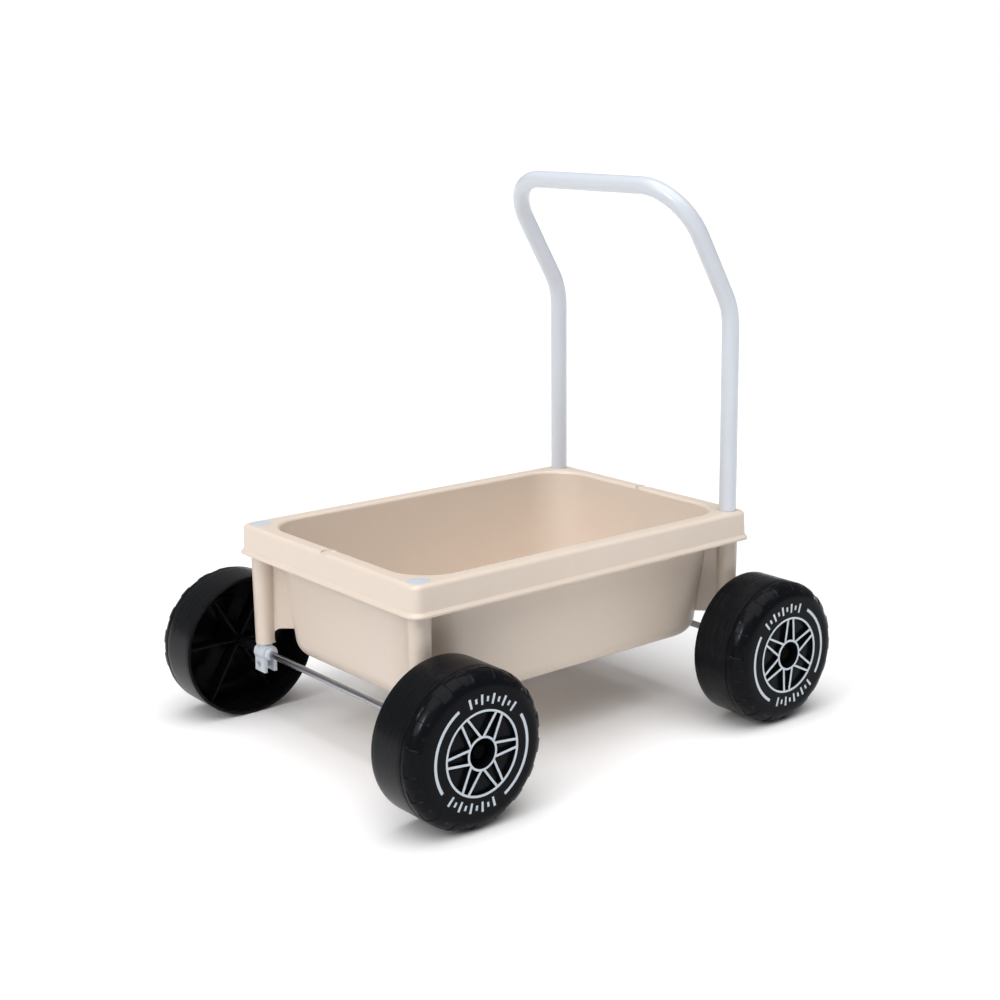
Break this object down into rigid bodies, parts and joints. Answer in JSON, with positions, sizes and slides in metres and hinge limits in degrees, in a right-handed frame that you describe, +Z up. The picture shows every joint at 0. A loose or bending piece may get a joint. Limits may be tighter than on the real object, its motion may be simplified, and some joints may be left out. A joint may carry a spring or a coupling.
{
  "type": "push-along toy wagon",
  "caption": "Toy push wagon: open moulded tub on corner posts, bent tube handle, wire-thin axles and chunky two-shell plastic wheels.",
  "frame": {"origin": "on the floor, under the middle of the wheelbase", "axes": "+X points from the handle end to the front end, +Y to the wagon's left, +Z up"},
  "size_m": [0.48, 0.4, 0.491],
  "materials": {
    "tub_plastic": "satin",
    "handle_paint": "gloss",
    "plug_plastic": "satin",
    "clip_plastic": "satin",
    "axle_steel": "satin",
    "wheel_drum_plastic": "satin",
    "wheel_cover_plastic": "satin",
    "cap_plastic": "satin"
  },
  "bodies": {
    "chassis": {"tub": "tub_plastic", "handle_tube": "handle_paint", "front_left_plug": "plug_plastic", "front_right_plug": "plug_plastic", "front_left_axle_clip": "clip_plastic", "front_right_axle_clip": "clip_plastic", "rear_left_axle_clip": "clip_plastic", "rear_right_axle_clip": "clip_plastic"},
    "front_axle_set": {"front_axle": "axle_steel", "front_left_axle_cap": "cap_plastic", "front_right_axle_cap": "cap_plastic"},
    "rear_axle_set": {"rear_axle": "axle_steel", "rear_left_axle_cap": "cap_plastic", "rear_right_axle_cap": "cap_plastic"},
    "front_left_wheel": {"front_left_wheel_drum": "wheel_drum_plastic", "front_left_wheel_cover": "wheel_cover_plastic"},
    "front_right_wheel": {"front_right_wheel_drum": "wheel_drum_plastic", "front_right_wheel_cover": "wheel_cover_plastic"},
    "rear_left_wheel": {"rear_left_wheel_drum": "wheel_drum_plastic", "rear_left_wheel_cover": "wheel_cover_plastic"},
    "rear_right_wheel": {"rear_right_wheel_drum": "wheel_drum_plastic", "rear_right_wheel_cover": "wheel_cover_plastic"}
  },
  "joints": [
    {"name": "front_axle_spin", "type": "hinge", "parent": "chassis", "child": "front_axle_set", "pos_m": [0.175, 0, 0.065], "axis": [0, 1, 0], "continuous": true},
    {"name": "rear_axle_spin", "type": "hinge", "parent": "chassis", "child": "rear_axle_set", "pos_m": [-0.175, 0, 0.065], "axis": [0, 1, 0], "continuous": true},
    {"name": "front_left_wheel_spin", "type": "hinge", "parent": "front_axle_set", "child": "front_left_wheel", "pos_m": [0.175, 0.165, 0.065], "axis": [0, 1, 0], "continuous": true},
    {"name": "front_right_wheel_spin", "type": "hinge", "parent": "front_axle_set", "child": "front_right_wheel", "pos_m": [0.175, -0.165, 0.065], "axis": [0, 1, 0], "continuous": true},
    {"name": "rear_left_wheel_spin", "type": "hinge", "parent": "rear_axle_set", "child": "rear_left_wheel", "pos_m": [-0.175, 0.165, 0.065], "axis": [0, 1, 0], "continuous": true},
    {"name": "rear_right_wheel_spin", "type": "hinge", "parent": "rear_axle_set", "child": "rear_right_wheel", "pos_m": [-0.175, -0.165, 0.065], "axis": [0, 1, 0], "continuous": true}
  ]
}
